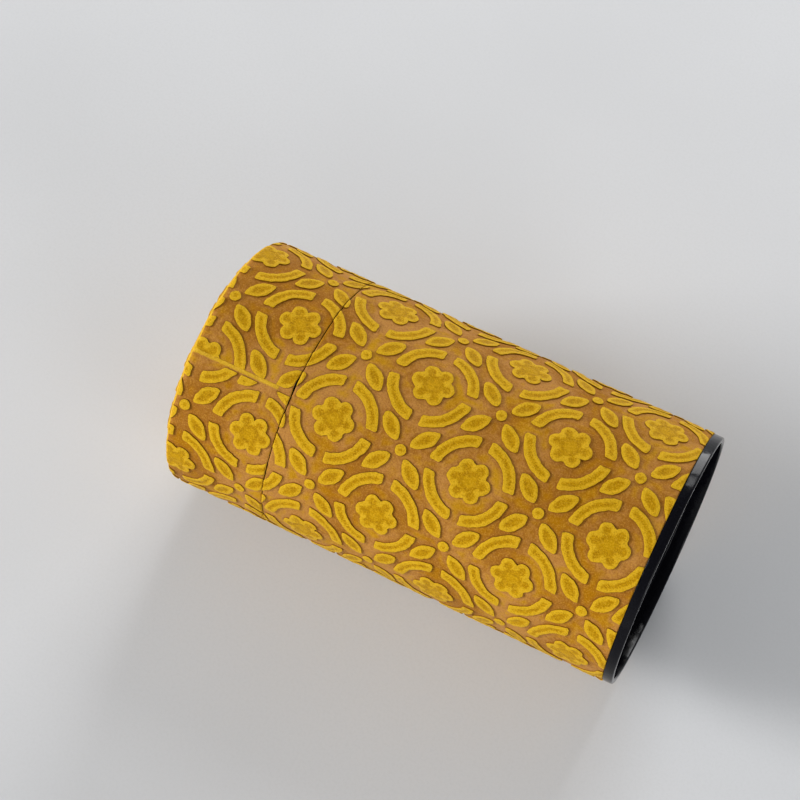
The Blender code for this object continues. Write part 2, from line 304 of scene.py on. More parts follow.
class ReliefSheet:
    """Sheet of paper whose raised figures have real edges.

    The contour of the figures, where field_at is zero, cuts the cells of a grid over s and u.
    surface(s, u, rise, high) returns points and how far each is raised: rise is the field's value,
    high is true on the figures, and it is None for the back, a coarse skin over the rows named in
    back_rows. With a period the sheet closes on itself, and a disc closes its first row. fray_at
    gives how worn the paper is.
    """

    def __init__(self, s_lines, u_lines, field_at, period=0.0):
        rows, cols = len(s_lines), len(u_lines)
        self.s_lines, self.u_lines, self.period = s_lines, u_lines, period
        self.right = (np.arange(cols if period else cols - 1) + 1) % cols
        self.s_grid, self.u_grid = np.meshgrid(s_lines, u_lines, indexing="ij")
        spacing = (s_lines[-1] - s_lines[0]) / (rows - 1)
        limit = SNAP_SHARE * spacing
        field = off_zero(field_at(self.s_grid, self.u_grid), limit)
        self.field = open_ties(field, self.right, limit)
        self.inside = self.field > 0.0
        self.node = np.arange(rows * cols).reshape(rows, cols)
        self.rows, self.cols, self.total = rows, cols, rows * cols
        self.contour = {}
        self.faces, self.cut = [], []
        self.back_of, self.back_s, self.back_u = {}, [], []

    def front_points(self):
        """Flat coordinates, rise and side of the grid's points and of those along the contour."""
        last = len(self.right)
        s, u, field = self.s_grid, self.u_grid, self.field
        u_after = self.u_lines[self.right] + self.period * (self.right == 0)
        u_after = np.broadcast_to(u_after, (self.rows, last))
        columns = [(s.ravel(), u.ravel(), field.ravel(), self.inside.ravel())]
        here = (field[:-1], s[:-1], u[:-1])
        below = (field[1:], s[1:], u[:-1])
        columns += self.crossings("s", here, below)
        here = (field[:, :last], s[:, :last], u[:, :last])
        beside = (field[:, self.right], s[:, :last], u_after)
        columns += self.crossings("u", here, beside)
        return [np.concatenate(values) for values in zip(*columns)]

    def crossings(self, direction, here, there):
        """Points at the crest and the foot of the wall where grid edges cross the contour."""
        places = np.nonzero((here[0] > 0.0) != (there[0] > 0.0))
        a, s_here, u_here = (values[places] for values in here)
        b, s_there, u_there = (values[places] for values in there)
        columns = []
        for level, margin in ((0.0, CREST_SHARE), (-WALL_WIDTH, WALL_FOOT_SHARE)):
            t = np.clip((a - level) / (a - b), margin, 1.0 - margin)
            s = s_here * (1 - t) + s_there * t
            u = u_here * (1 - t) + u_there * t
            columns.append((s, u, np.full(len(a), level), np.full(len(a), level == 0.0)))
            index = np.full(here[0].shape, -1)
            index[places] = self.total + np.arange(len(a))
            self.contour[direction, level == 0.0] = index
            self.total += len(a)
        return columns

    def contour_pair(self, direction, row, col):
        """Crest and foot points of a grid edge, or None where it doesn't cross the contour."""
        crest = int(self.contour[direction, True][row, col])
        foot = int(self.contour[direction, False][row, col])
        return (crest, foot) if crest >= 0 else None

    def add_faces(self, faces, cut):
        """Add faces, which do or don't belong to a cut edge of the paper."""
        self.faces += faces
        self.cut += [cut] * len(faces)

    def fill_cells(self):
        """Faces of the cells that lie wholly inside or outside a figure, then of those it cuts."""
        inside, node, right = self.inside, self.node, self.right
        corner = inside[:-1, : len(right)]
        same = (corner == inside[1:, : len(right)]) & (corner == inside[:-1, right])
        same &= corner == inside[1:, right]
        i, j = np.nonzero(same)
        loops = [node[i, j], node[i + 1, j], node[i + 1, right[j]], node[i, right[j]]]
        self.add_faces(np.stack(loops, axis=-1).tolist(), 0.0)
        for i, j in zip(*np.nonzero(~same)):
            self.add_faces(self.cut_cell(i, j, right[j]), 0.0)

    def cut_cell(self, i, j, k):
        """Raised part, ground and wall of a cell that the contour cuts."""
        corners = ((i, j), (i + 1, j), (i + 1, k), (i, k))
        edges = (("s", i, j), ("u", i + 1, j), ("s", i, k), ("u", i, j))
        raised, low = [], []
        leave = enter = None
        for corner, edge in zip(corners, edges):
            here = self.inside[corner]
            (raised if here else low).append(int(self.node[corner]))
            pair = self.contour_pair(*edge)
            if pair:
                raised.append(pair[0])
                low.append(pair[1])
                if here:
                    leave = pair
                else:
                    enter = pair
        return [raised, low, [enter[0], leave[0], leave[1], enter[1]]]

    def back(self, row, col):
        """Number of the back point behind a grid point, made when first asked for."""
        key = (row, col % self.cols)
        if key not in self.back_of:
            self.back_of[key] = self.total + len(self.back_s)
            self.back_s.append(self.s_lines[row])
            self.back_u.append(self.u_lines[col % self.cols])
        return self.back_of[key]

    def chain(self, direction, row, col, end):
        """Points along one edge of the grid, from its start to the grid point at end."""
        pair = self.contour_pair(direction, row, col) or ()
        between = pair if self.inside[row, col] else reversed(pair)
        return [int(self.node[row, col]), *between, int(self.node[end])]

    def close_edges(self):
        """Faces of the sheet's cut edges, between its front and its back."""
        rows, cols = self.rows, self.cols
        faces = []
        for j, k in enumerate(self.right.tolist()):
            if not self.period:
                faces.append([*self.chain("u", 0, j, (0, k)), self.back(0, k), self.back(0, j)])
            chain = self.chain("u", rows - 1, j, (-1, k))
            faces.append([*reversed(chain), self.back(rows - 1, j), self.back(rows - 1, k)])
        if self.period:
            faces.append(self.node[0].tolist())
            faces.append([self.back(0, j) for j in reversed(range(cols))])
        else:
            for i in range(rows - 1):
                chain = self.chain("s", i, 0, (i + 1, 0))
                faces.append([*reversed(chain), self.back(i, 0), self.back(i + 1, 0)])
                chain = self.chain("s", i, cols - 1, (i + 1, -1))
                faces.append([*chain, self.back(i + 1, cols - 1), self.back(i, cols - 1)])
        self.add_faces(faces, 1.0)

    def fill_back(self, back_rows):
        """Coarse faces of the back side, which take in every point along the sheet's ends."""
        faces = []
        for low_row, high_row in zip(back_rows[:-1], back_rows[1:]):
            for j, k in enumerate(self.right.tolist()):
                loop = [self.back(low_row, j), self.back(low_row, k)]
                if not self.period and j == len(self.right) - 1:
                    loop += [self.back(row, k) for row in range(low_row + 1, high_row)]
                loop += [self.back(high_row, k), self.back(high_row, j)]
                if not self.period and j == 0:
                    loop += [self.back(row, 0) for row in range(high_row - 1, low_row, -1)]
                faces.append(loop)
        self.add_faces(faces, 0.0)

    def build(self, name, surface, fray_at, back_rows):
        """Make the piece, with its rise, lift, fray and cut faces as attributes."""
        s, u, rise, high = self.front_points()
        points, lift = surface(s, u, rise, high)
        self.fill_cells()
        self.close_edges()
        self.fill_back(back_rows)
        back_s, back_u = np.array(self.back_s), np.array(self.back_u)
        back_rise = np.full(len(back_s), BACK_RISE)
        back_points, _ = surface(back_s, back_u, back_rise, None)
        mesh = bpy.data.meshes.new(name)
        mesh.from_pydata(np.concatenate([points, back_points]).tolist(), [], self.faces)
        mesh.shade_smooth()
        mesh.set_sharp_from_angle(angle=PAPER_SHARP_ANGLE)
        hidden = np.zeros(len(back_s))
        for label, values in (
            ("rise", np.concatenate([np.clip(rise, -MOST_RISE, MOST_RISE), back_rise])),
            ("lift", np.concatenate([lift, hidden])),
            ("fray", np.concatenate([fray_at(s, u), hidden])),
        ):
            mesh.attributes.new(label, "FLOAT", "POINT").data.foreach_set("value", values)
        mesh.attributes.new("cut", "FLOAT", "FACE").data.foreach_set("value", self.cut)
        return add_object(name, mesh)


def add_object(name, data):
    """Return a new object in the scene with this mesh, light or camera."""
    thing = bpy.data.objects.new(name, data)
    bpy.context.scene.collection.objects.link(thing)
    return thing


def lap(u, length):
    """How far the start of a sheet is held up by its end, which lies under it."""
    return LAP_STEP * (1.0 - smooth(0.0, LAP_FADE, u)) * (u < length / 2)


def pressed(u, length, near=2.0, full=0.6, least=0.5):
    """Share of the relief that is left where the start of the sheet lies on its end."""
    return 1.0 - (1.0 - least) * smooth(length - near, length - full, u)


def tongue_drop(u, length):
    """How far the hidden end of a sheet is thinned."""
    return TONGUE_THINNING * np.clip((u - length) / TONGUE, 0.0, 1.0)


def soft_edge(distance):
    """How far a sheet's cut edge is rounded off, by the distance from it."""
    return CUT_ROUNDING * (1.0 - np.clip(distance / CUT_ROUNDING_WIDTH, 0.0, 1.0)) ** 2


def seam_fray(u):
    """Wear along the start of a sheet, which lies on top at the seam."""
    return 1.0 - smooth(FRAY_START, FRAY_END, u)


def corner_fray(turn):
    """Wear where the paper turns over the lid's corner."""
    fading = 1.0 - WORN_LESS_SHARE * smooth(WORN_LESS_FROM, WORN_LESS_FULL, turn)
    return WORN_SHARE * (smooth(WORN_FROM, WORN_FULL, turn) * fading)


def corner_relief(turn):
    """Share of the relief that is left where the paper turns over the lid's corner."""
    return 1.0 - FLAT_SHARE * smooth(FLAT_FROM, FLAT_FULL, turn)


def joint_opening(u, length):
    """How far the lid's lower edge stands off the body, widest beside the lid's seam."""
    from_seam = np.where(u > length / 2, u - length, u)
    flare = np.exp(-((from_seam - LID_FLARE_U) / LID_FLARE_WIDTH) ** 2)
    return LID_JOINT_GAP + LID_JOINT_FLARE * flare


def sheet_lift(rise, high, p, q):
    """Height of the ground and of the figures above it, at flat coordinates p and q."""
    raised = top_lift(rise) + wobble(TOP_WAVES, p, q)
    return wobble(GROUND_WAVES, p, q), np.where(high, raised, 0.0)


def make_body_paper():
    """Paper around the body, from the foot ring to the joint, with its lap at the back."""
    length = math.tau * RADIUS
    s_lines = even_lines(PAPER_START_H, JOINT_H, BODY_CELL, True, True)
    u_lines = even_lines(0.0, length + TONGUE, BODY_CELL)

    def angle(u):
        return BODY_SEAM_PHI + (u - length) / RADIUS

    def field_at(s, u):
        field = np.minimum(figures(s, RADIUS * angle(u)), u - BORDER)
        return np.where(u > length, PLAIN, field)

    def surface(s, u, rise, high):
        phi = angle(u)
        held = lap(u, length)
        if high is None:
            phi = np.where(u <= 0.0, angle(u - BEVEL), phi)
            return around(s, GROUND_R - PAPER_DEPTH + held * BACK_LAP_SHARE, phi), None
        ground, raised = sheet_lift(rise, high, s, RADIUS * phi)
        edge = np.minimum(s - PAPER_START_H, JOINT_H - s)
        r = GROUND_R + ground + raised * pressed(u, length) + held
        return around(s, r - soft_edge(edge) - tongue_drop(u, length), phi), raised

    def fray_at(_, u):
        return seam_fray(u)

    sheet = ReliefSheet(s_lines, u_lines, field_at)
    return sheet.build("paper_body", surface, fray_at, [0, len(s_lines) - 1])


def make_lid_paper():
    """Paper around the outer lid, carried over its corner, with its lap on the upper side."""
    length = math.tau * RADIUS
    straight = CORNER_H - LID_H
    arc = CORNER_GROUND * math.pi / 2
    s_straight = even_lines(0.0, straight, LID_CELL, True, False)
    s_arc = np.linspace(straight, straight + arc, ARC_STEPS + 1)[1:]
    s_fold = np.linspace(straight + arc, straight + arc + LID_FOLD, FOLD_STEPS + 1)[1:]
    s_lines = np.concatenate([s_straight, s_arc, s_fold])
    first_arc = len(s_straight) - 1
    arc_rows = [first_arc, first_arc + 2, first_arc + 4, first_arc + ARC_STEPS]
    u_lines = even_lines(0.0, length + TONGUE, LID_CELL)

    def angle(u):
        return LID_SEAM_PHI + u / RADIUS

    def field_at(s, u):
        field = np.minimum(figures(s + LID_H, RADIUS * angle(u) - length), u - BORDER)
        return np.where(u > length, PLAIN, field)

    def surface(s, u, rise, high):
        phi = angle(u)
        turn = np.clip((s - straight) / CORNER_GROUND, 0.0, math.pi / 2)
        beyond = np.maximum(s - straight - arc, 0.0)
        h = LID_H + np.minimum(s, straight) + CORNER_GROUND * np.sin(turn)
        h = h + joint_opening(u, length) * (1.0 - np.clip(s / LID_FLARE_HEIGHT, 0.0, 1.0)) ** 2
        r = CORNER_R + CORNER_GROUND * np.cos(turn) - beyond
        lap_rise = smooth(LID_LAP_START, LID_LAP_END, s)
        held = lap(u, length) * (LID_LAP_SHARE + (1.0 - LID_LAP_SHARE) * lap_rise)
        if high is None:
            phi = np.where(u <= 0.0, phi - BEVEL / RADIUS, phi)
            offset = held * BACK_LAP_SHARE - PAPER_DEPTH
            raised = None
        else:
            ground, raised = sheet_lift(rise, high, s + LID_H, RADIUS * phi)
            flatter = pressed(u, length) * corner_relief(turn)
            offset = ground + raised * flatter + held - soft_edge(s) - tongue_drop(u, length)
        return around(h + offset * np.sin(turn), r + offset * np.cos(turn), phi), raised

    def fray_at(s, u):
        edge = seam_fray(u) * smooth(LID_FRAY_START, LID_FRAY_END, s)
        return np.maximum(edge, corner_fray((s - straight) / CORNER_GROUND))

    sheet = ReliefSheet(s_lines, u_lines, field_at)
    return sheet.build("paper_lid", surface, fray_at, [0, *arc_rows, len(s_lines) - 1])


def make_lid_end_paper():
    """Round paper on the lid's end, cut from the same kind of sheet."""
    rim, innermost = LID_END_R, 0.5
    spare, thickness = 0.08, 0.33
    slow, fast, nearly = 0.06, 0.04, 0.01
    fray_start, fray_end = 0.5, 0.1
    level = LENGTH - RELIEF - spare
    s_lines = even_lines(innermost, rim, END_CELL, False, True)
    u_lines = np.arange(END_COLUMNS) * math.tau / END_COLUMNS
    centre_p, centre_q = 1113.3, 2204.5

    def flat(s, u):
        return centre_p + s * np.cos(u), centre_q + s * np.sin(u)

    def field_at(s, u):
        return figures(*flat(s, u))

    def surface(s, u, rise, high):
        if high is None:
            return around(np.full(len(s), level - thickness), s, -u), None
        ground, raised = sheet_lift(rise, high, *flat(s, u))
        uneven = slow * np.sin(5.0 * u + 1.0) + fast * np.sin(17.0 * u)
        r = s + np.where(s > rim - nearly, uneven, 0.0)
        return around(level + ground + raised - soft_edge(rim - s), r, -u), raised

    def fray_at(s, _):
        return smooth(rim - fray_start, rim - fray_end, s)

    sheet = ReliefSheet(s_lines, u_lines, field_at, math.tau)
    return sheet.build("paper_lid_end", surface, fray_at, [0, len(s_lines) - 1])


def rounded(centre_r, centre_h, radius_r, radius_h, start, end, steps):
    """Points of a rounded corner in a profile, between two angles in degrees."""
    angles = np.radians(np.linspace(start, end, steps + 1))
    return [(centre_r + radius_r * math.cos(a), centre_h + radius_h * math.sin(a)) for a in angles]


def turned(name, profile, segments=224, closed=True, ridge=None):
    """Turn a profile of (r, h) points around the axis, running down its outer side.

    An open profile starts and ends on the axis. ridge(h, phi) adds to the radius.
    """
    body = [point for point in profile if point[0] > 0.0]
    radii = np.array([r for r, _ in body])
    heights = np.array([h for _, h in body])
    phi = np.arange(segments) * math.tau / segments
    r_grid, phi_grid = np.meshgrid(radii, phi, indexing="ij")
    h_grid = np.broadcast_to(heights[:, None], r_grid.shape)
    if ridge is not None:
        r_grid = r_grid + ridge(h_grid, phi_grid)
    points = around(h_grid, r_grid, phi_grid).reshape(-1, 3).tolist()
    faces = []
    pairs = list(zip(range(len(body) - 1), range(1, len(body))))
    if closed:
        pairs.append((len(body) - 1, 0))
    for upper, lower in pairs:
        for col in range(segments):
            after = (col + 1) % segments
            faces.append([
                lower * segments + col, upper * segments + col,
                upper * segments + after, lower * segments + after,
            ])
    if not closed:
        for row, height, order in ((0, profile[0][1], 1), (len(body) - 1, profile[-1][1], -1)):
            centre = len(points)
            points.append(around(np.array(height), np.array(0.0), np.array(0.0)).tolist())
            for col in range(segments):
                after = (col + 1) % segments
                triangle = [centre, row * segments + after, row * segments + col]
                faces.append(triangle[::order])
    mesh = bpy.data.meshes.new(name)
    mesh.from_pydata(points, [], faces)
    mesh.shade_smooth()
    mesh.set_sharp_from_angle(angle=METAL_SHARP_ANGLE)
    return add_object(name, mesh)


def tube(outer, inner, top, bottom, edge=0.12):
    """Profile of a tube of tinplate with softened edges."""
    half = min(edge, (outer - inner) * 0.4)
    profile = rounded(inner + half, top - half, half, half, 180, 90, 2)
    profile += rounded(outer - half, top - half, half, half, 90, 0, 2)
    profile += rounded(outer - half, bottom + half, half, half, 0, -90, 2)
    profile += rounded(inner + half, bottom + half, half, half, -90, -180, 2)
    return profile


def side_seam(phi_centre, width, height, slope=0.5):
    """Ridge of a lapped seam along a tube of tinplate."""
    def ridge(_, phi):
        away = np.abs((phi - phi_centre + math.pi) % math.tau - math.pi) * TUBE_OUTER
        return height * (1.0 - smooth(width / 2 - slope, width / 2, away))
    return ridge


def make_foot_ring():
    """Black ring under the paper, with rolled edges, an inner ledge and a collar inside the tube."""
    outer = RADIUS - 0.3
    top, collar_top = 3.0, 8.0
    ledge_r, ledge_bottom, ledge_top = 36.8, 3.9, 4.7
    roll, upper_roll, soft = 0.5, 0.25, 0.1
    profile = [(SLEEVE_INNER, collar_top), (SLEEVE_OUTER - soft, collar_top)]
    profile += [(SLEEVE_OUTER, collar_top - 2 * soft), (SLEEVE_OUTER, top - soft), (TUBE_OUTER, top)]
    profile += rounded(outer - upper_roll, top - upper_roll, upper_roll, upper_roll, 90, 0, 4)
    profile += rounded(outer - roll, roll, roll, roll, 0, -90, 6)
    profile += rounded(SLEEVE_INNER + roll, roll, roll, roll, -90, -180, 6)
    profile += [(SLEEVE_INNER, ledge_bottom), (ledge_r + soft, ledge_bottom + soft / 2)]
    profile += [(ledge_r, ledge_bottom + 2 * soft), (ledge_r, ledge_top), (SLEEVE_INNER, ledge_top)]
    return turned("ring_foot", profile)


def make_base_plate():
    """Recessed disc in the base, with a raised panel and a pressed step around it."""
    bottom = 5.0
    top = bottom + TIN
    panel_r, lift, step, curl = 28.0, 0.8, 0.8, 0.3
    profile = [(0.0, top + lift), (panel_r, top + lift)]
    profile += rounded(panel_r, bottom + lift, step, TIN, 90, 0, 4)
    profile += [(panel_r + 1.5 * step, top), (PAN_OUTER, top)]
    profile += [(PAN_OUTER, bottom), (panel_r + 1.75 * step, bottom)]
    profile += rounded(panel_r + step / 2, bottom + curl, step, TIN, -40, 90, 4)
    profile += [(panel_r - step / 2, bottom + lift), (0.0, bottom + lift)]
    return turned("plate_base", profile, closed=False)


def make_body_tube():
    """Tinplate tube of the body."""
    return turned("tube_body", tube(TUBE_OUTER, TUBE_OUTER - TIN, JOINT_H, TUBE_START_H))


def make_neck():
    """Tinplate neck that rises from the body into the outer lid, with its lapped seam."""
    profile = tube(SLEEVE_OUTER, SLEEVE_INNER, NECK_TOP_H, NECK_START_H)
    seam = side_seam(math.radians(200.0), width=5.0, height=0.12)
    return turned("sleeve_neck", profile, segments=256, ridge=seam)


def make_lid_tube():
    """Tinplate tube of the outer lid."""
    return turned("tube_lid", tube(TUBE_OUTER, TUBE_OUTER - TIN, LID_TUBE_TOP_H, LID_H))


def make_lid_plate():
    """End plate of the outer lid, with a rounded rim, a plug inside the tube and a pressed bead."""
    top = 147.1
    under = top - TIN
    rim_bottom, plug_bottom = 144.7, 143.2
    bead_r, bead_foot, bead_half, bead_depth = 30.0, 1.0, 0.6, 0.15
    corner = (PLATE_CORNER_R, PLATE_CORNER_H)
    profile = [(0.0, top)]
    profile += rounded(*corner, TUBE_OUTER - PLATE_CORNER_R, top - PLATE_CORNER_H, 90, 0, 6)
    profile += [(TUBE_OUTER, rim_bottom), (SLEEVE_OUTER, rim_bottom)]
    profile += [(SLEEVE_OUTER, plug_bottom), (SLEEVE_INNER, plug_bottom)]
    profile += rounded(*corner, SLEEVE_INNER - PLATE_CORNER_R, under - PLATE_CORNER_H, 0, 90, 6)
    profile += [(bead_r + bead_foot, under), (bead_r + bead_half, under - bead_depth)]
    profile += [(bead_r - bead_half, under - bead_depth), (bead_r - bead_foot, under), (0.0, under)]
    return turned("plate_lid", profile, closed=False)


def make_inner_pan():
    """Pressed pan of the inner lid, with a flange on the neck and a raised panel."""
    pan_inner = PAN_OUTER - TIN
    flange_bottom, flange_top = 141.8, 142.2
    floor_bottom, panel_bottom = 134.5, 135.5
    floor_top, panel_top = floor_bottom + TIN, panel_bottom + TIN
    lip, curl, bend, bore = 0.1, 0.15, 1.6, 1.8
    border, ease, inner_ease = 8.0, 0.2, 0.25
    step_offsets = (1.2, 0.7, 0.3, -0.2)
    foot, low, high, head = (pan_inner - border + offset for offset in step_offsets)
    groove_in, groove_out, groove_slope, groove_depth = 14.0, 15.8, 0.4, 0.12
    profile = rounded(pan_inner - lip, flange_top - lip, lip, lip, 180, 90, 2)
    profile += rounded(SLEEVE_OUTER - curl, flange_top - curl, curl, curl, 90, -90, 4)
    profile += [(PAN_OUTER, flange_bottom)]
    profile += rounded(PAN_OUTER - bend, floor_bottom + bend, bend, bend, 0, -90, 8)
    profile += [(foot, floor_bottom), (low, floor_bottom + ease), (high, panel_bottom - ease)]
    profile += [(head, panel_bottom), (bore, panel_bottom), (bore, panel_top)]
    profile += [(groove_in, panel_top), (groove_in + groove_slope, panel_top - groove_depth)]
    profile += [(groove_out - groove_slope, panel_top - groove_depth), (groove_out, panel_top)]
    profile += [(head, panel_top), (high, panel_top - inner_ease)]
    profile += [(low, floor_top + inner_ease), (foot, floor_top)]
    bend -= TIN
    profile += rounded(pan_inner - bend, floor_top + bend, bend, bend, -90, 0, 8)
    return turned("pan_inner_lid", profile, segments=256)


def make_knob():
    """Turned knob of the inner lid: round head, waist and foot, with a shallow dimple."""
    top, bottom = 145.2, 136.2
    head, waist, foot = 8.5, 4.5, 6.0
    half, neck, foot_h, edge_h, soft = 2.1, 0.4, 1.2, 0.7, 0.3
    dimple_r, dimple_depth = 4.0, 0.25
    socket_r, socket_top = 1.8, 140.5
    dimple_shares = ((0.0, 1.0), (0.3, 0.88), (0.65, 0.32), (1.0, 0.0))
    profile = [(dimple_r * out, top - dimple_depth * down) for out, down in dimple_shares]
    profile += rounded(waist + neck, top - half, head - waist - neck, half, 90, -90, 16)
    waist_h = top - 2 * half
    profile += rounded(foot, waist_h, foot - waist, waist_h - bottom - foot_h, 180, 262, 10)[1:]
    profile += rounded(foot - soft, bottom + edge_h, soft, soft, 70, 0, 3)
    profile += [(foot, bottom), (socket_r, bottom), (socket_r, socket_top), (0.0, socket_top)]
    return turned("knob_inner_lid", profile, segments=96, closed=False)


def make_rivet():
    """Domed rivet under the inner lid, whose shank holds the knob."""
    shank_r, shank_top = 1.5, 140.2
    head_r, head_flat, head_top, head_bottom = 3.0, 0.6, 135.2, 134.5
    soft = 0.1
    widest = head_top - soft
    profile = [(0.0, shank_top), (shank_r - soft, shank_top), (shank_r, shank_top - soft)]
    profile += [(shank_r, head_top), (head_r - soft, head_top)]
    profile += rounded(head_flat, widest, head_r - head_flat, widest - head_bottom, 0, -90, 8)
    profile += [(0.0, head_bottom)]
    return turned("rivet_inner_lid", profile, segments=64, closed=False)


# Materials

def linear(red, green, blue):
    """Linear colour of an sRGB one, 0 to 255."""
    values = []
    for level in (red, green, blue):
        share = level / 255.0
        values.append(share / 12.92 if share <= 0.04045 else ((share + 0.055) / 1.055) ** 2.4)
    return (*values, 1.0)


def new_material(name, roughness, metallic=0.0, specular=0.5):
    """Return a new material, its nodes and its shader."""
    material = bpy.data.materials.new(name)
    material.use_nodes = True
    tree = material.node_tree
    shader = tree.nodes["Principled BSDF"]
    set_values(shader, {"Roughness": roughness, "Metallic": metallic, "Specular IOR Level": specular})
    return material, tree, shader


def set_values(node, values):
    """Set a node's inputs by their labels."""
    for label, value in values.items():
        node.inputs[label].default_value = value


def feed(tree, socket, value):
    """Link a socket or set its value."""
    if isinstance(value, bpy.types.NodeSocket):
        tree.links.new(value, socket)
    else:
        socket.default_value = value


def calculate(tree, operation, a, b=0.0):
    """Result of a Math node."""
    node = tree.nodes.new("ShaderNodeMath")
    node.operation = operation
    feed(tree, node.inputs[0], a)
    feed(tree, node.inputs[1], b)
    return node.outputs[0]


def plus(tree, a, b):
    """Sum of two values."""
    return calculate(tree, "ADD", a, b)


def times(tree, a, b):
    """Product of two values."""
    return calculate(tree, "MULTIPLY", a, b)


def span(tree, value, low, high, out_low=0.0, out_high=1.0):
    """Smooth step of a value between two levels."""
    node = tree.nodes.new("ShaderNodeMapRange")
    node.interpolation_type = "SMOOTHSTEP"
    feed(tree, node.inputs["Value"], value)
    set_values(node, {"From Min": low, "From Max": high, "To Min": out_low, "To Max": out_high})
    return node.outputs["Result"]


def blend(tree, factor, a, b):
    """Mix of two colours."""
    node = tree.nodes.new("ShaderNodeMix")
    node.data_type = "RGBA"
    feed(tree, node.inputs[0], factor)
    feed(tree, node.inputs[6], a)
    feed(tree, node.inputs[7], b)
    return node.outputs[2]


def tint(tree, colour, other, value, low, high, most):
    """Colour drawn towards another, at most by a share, as a value goes from low to high."""
    return blend(tree, span(tree, value, low, high, 0.0, most), colour, other)


def attribute(tree, name):
    """Value of a mesh attribute."""
    node = tree.nodes.new("ShaderNodeAttribute")
    node.attribute_name = name
    return node.outputs["Fac"]


def place(tree, stretch=(1.0, 1.0, 1.0)):
    """Object coordinates, stretched."""
    coordinates = tree.nodes.new("ShaderNodeTexCoord").outputs["Object"]
    node = tree.nodes.new("ShaderNodeVectorMath")
    node.operation = "MULTIPLY"
    feed(tree, node.inputs[0], coordinates)
    node.inputs[1].default_value = stretch
    return node.outputs[0]


def separate(tree, vector):
    """The three parts of a vector."""
    node = tree.nodes.new("ShaderNodeSeparateXYZ")
    tree.links.new(vector, node.inputs[0])
    return node.outputs


def around_axis(tree):
    """Position, normal, distance from the canister's axis, and how far the surface faces away."""
    coordinates = tree.nodes.new("ShaderNodeTexCoord").outputs
    position = separate(tree, coordinates["Object"])
    normal = separate(tree, coordinates["Normal"])
    up = calculate(tree, "SUBTRACT", position[2], AXIS_Z * MM)
    up_square = calculate(tree, "POWER", up, 2.0)
    side_square = calculate(tree, "POWER", position[1], 2.0)
    radius = calculate(tree, "SQRT", plus(tree, up_square, side_square))
    facing = plus(tree, times(tree, normal[1], position[1]), times(tree, normal[2], up))
    return position, normal, radius, calculate(tree, "DIVIDE", facing, radius)


def noise(tree, vector, size, detail=3.0, roughness=0.55, distortion=0.0):
    """Noise whose features are about size millimetres."""
    node = tree.nodes.new("ShaderNodeTexNoise")
    feed(tree, node.inputs["Vector"], vector)
    set_values(node, {"Scale": 1.0 / (size * MM), "Detail": detail})
    set_values(node, {"Roughness": roughness, "Distortion": distortion})
    return node.outputs["Fac"]


def bump(tree, shader, height, strength=1.0):
    """Bump from a height in millimetres."""
    node = tree.nodes.new("ShaderNodeBump")
    set_values(node, {"Strength": strength, "Distance": MM})
    feed(tree, node.inputs["Height"], height)
    tree.links.new(node.outputs["Normal"], shader.inputs["Normal"])


def figure_colour(tree, rise, grain, fibre, mottle):
    """Raised figures: light rims, a painted highlight along their rounded edges, deeper yellow inside
    with dark specks along the middle.
    """
    ragged = plus(tree, rise, span(tree, fibre, 0.3, 0.7, -0.32, 0.32))
    # Painted highlight: the rim colour, lighter than the inside, stands in for the light on the
    # figures' rounded edges
    rim = linear(209, 164, 28)
    inside = linear(197, 150, 6)
    colour = blend(tree, span(tree, ragged, 0.75, 1.25), rim, inside)
    furrow = span(tree, ragged, 1.05, 1.45)
    furrow = times(tree, furrow, span(tree, rise, 1.8, 2.8, 1.0, 0.3))
    hollow = times(tree, furrow, span(tree, mottle, 0.36, 0.56, 0.3, 1.0))
    colour = blend(tree, hollow, colour, linear(178, 130, 0))
    speck = times(tree, furrow, span(tree, fibre, 0.48, 0.60, 0.0, 0.75))
    colour = blend(tree, speck, colour, linear(150, 103, 0))
    colour = tint(tree, colour, linear(219, 177, 46), grain, 0.50, 0.63, 0.42)
    return tint(tree, colour, linear(148, 103, 0), grain, 0.49, 0.36, 0.48)


def ground_colour(tree, rise, grain, mottle, patch, cloud):
    """Ground: brown beside the figures, ochre in the open, each in darker and paler clouds, and a thin
    line of painted shade at the foot of the figures.
    """
    away = times(tree, rise, -1.0)
    away = plus(tree, away, span(tree, patch, 0.25, 0.75, -1.9, 1.9))
    pale = plus(tree, cloud, span(tree, mottle, 0.3, 0.7, -0.06, 0.06))
    clouds = span(tree, pale, 0.36, 0.64)
    open_ground = blend(tree, clouds, linear(166, 109, 0), linear(190, 139, 18))
    near_ground = blend(tree, clouds, linear(155, 99, 28), linear(182, 127, 64))
    colour = blend(tree, span(tree, away, 0.7, 3.1), near_ground, open_ground)
    colour = tint(tree, colour, linear(204, 154, 62), grain, 0.50, 0.64, 0.42)
    colour = tint(tree, colour, linear(132, 84, 10), grain, 0.48, 0.35, 0.40)
    # Painted shade: the ground is darkened in a thin line at the foot of the figures' walls
    return tint(tree, colour, linear(118, 76, 8), rise, -0.35, -0.08, 0.40)


def worn_colour(tree, grain, fibre):
    """Yellow pulp that shows where the paper is cut or worn."""
    colour = blend(tree, span(tree, fibre, 0.35, 0.65), linear(219, 176, 52), linear(201, 155, 30))
    return tint(tree, colour, linear(168, 122, 16), grain, 0.50, 0.38, 0.45)


